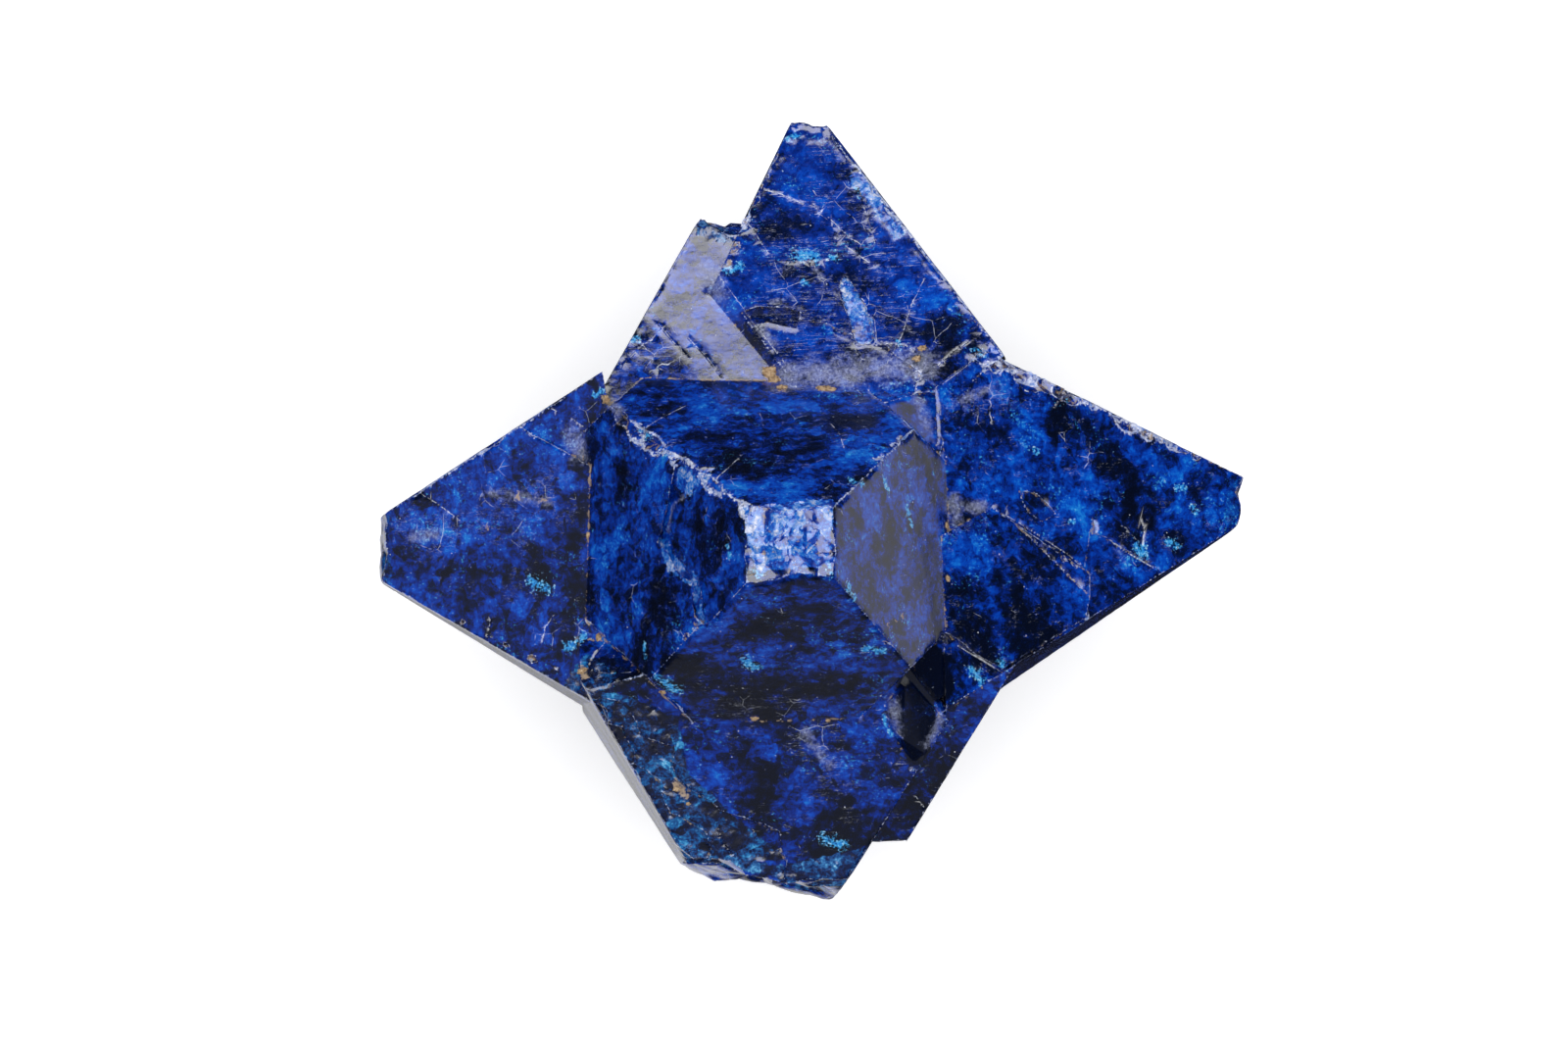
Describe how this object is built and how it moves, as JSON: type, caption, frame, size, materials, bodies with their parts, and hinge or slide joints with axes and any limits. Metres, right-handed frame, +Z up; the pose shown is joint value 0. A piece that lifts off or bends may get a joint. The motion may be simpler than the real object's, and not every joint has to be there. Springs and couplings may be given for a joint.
{
  "type": "crystal specimen",
  "caption": "Six-pointed star of blue square-pyramid crystals grown into one solid, with broken and worn tips, lying on the flat break of its back pyramid.",
  "frame": {"origin": "middle of the flat break of the back pyramid, which the star rests on", "axes": "+Z up along the front pyramid, through its broken tip; +X along the right arm; +Y along the top arm"},
  "size_m": [0.0221, 0.0198, 0.0178],
  "materials": {
    "cumengeite": "glassy to satin crystal faces with rough paler breaks"
  },
  "bodies": {
    "root": {"cumengeite_star": "cumengeite"}
  },
  "joints": []
}
